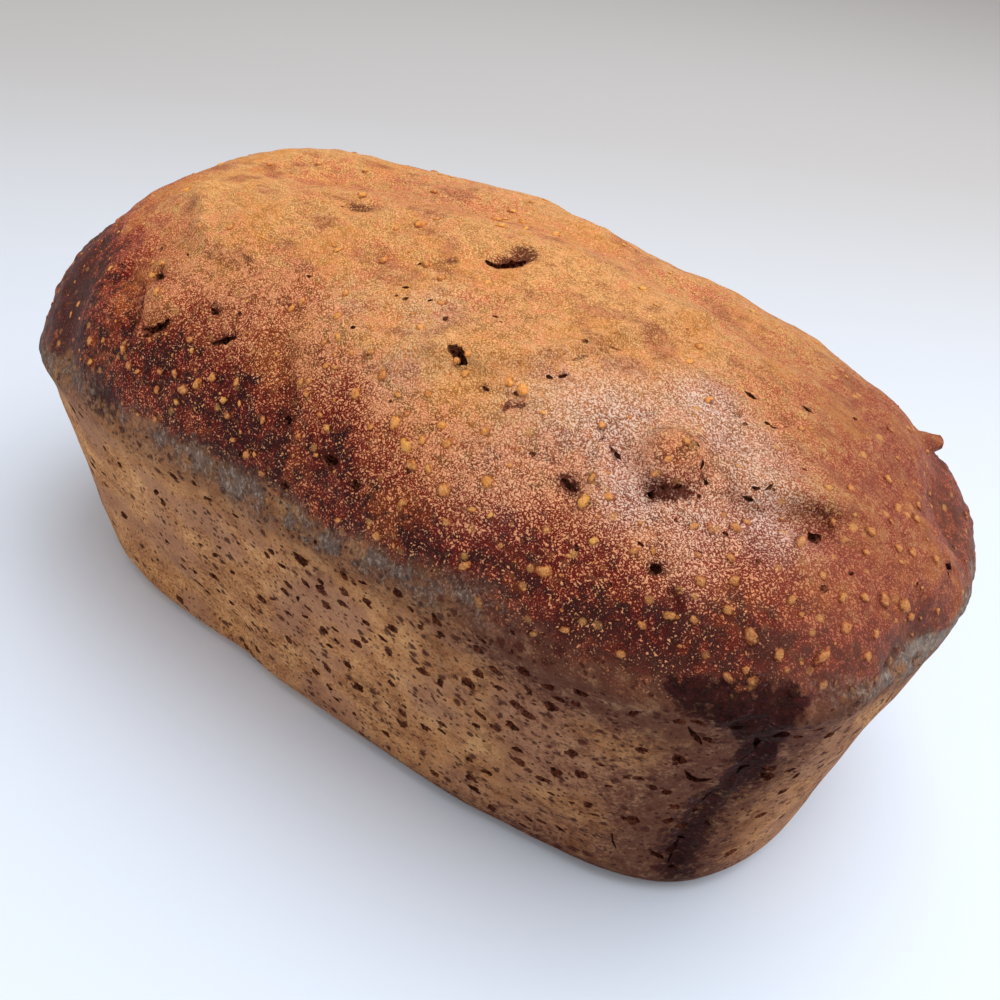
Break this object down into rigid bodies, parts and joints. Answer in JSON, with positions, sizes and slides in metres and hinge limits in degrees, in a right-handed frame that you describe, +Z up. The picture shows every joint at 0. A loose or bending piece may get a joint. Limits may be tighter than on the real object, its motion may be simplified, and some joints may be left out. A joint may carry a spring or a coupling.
{
  "type": "gluten-free loaf of bread",
  "caption": "Whole tin-baked gluten-free loaf: smooth leaning tin walls with open pores, and a rounded browned crown with folds, torn holes and pale grains.",
  "frame": {"origin": "middle of the plan, on the surface that the loaf stands on", "axes": "+X along the loaf, towards the end with the little nub on the crown; +Z up; -Y is the long wall that faces the viewer"},
  "size_m": [0.2166, 0.1164, 0.1023],
  "materials": {
    "crust": "matt baked crust: golden to dark brown crown with pale grains, tan tin walls with open pores"
  },
  "bodies": {
    "root": {"loaf": "crust"}
  },
  "joints": []
}
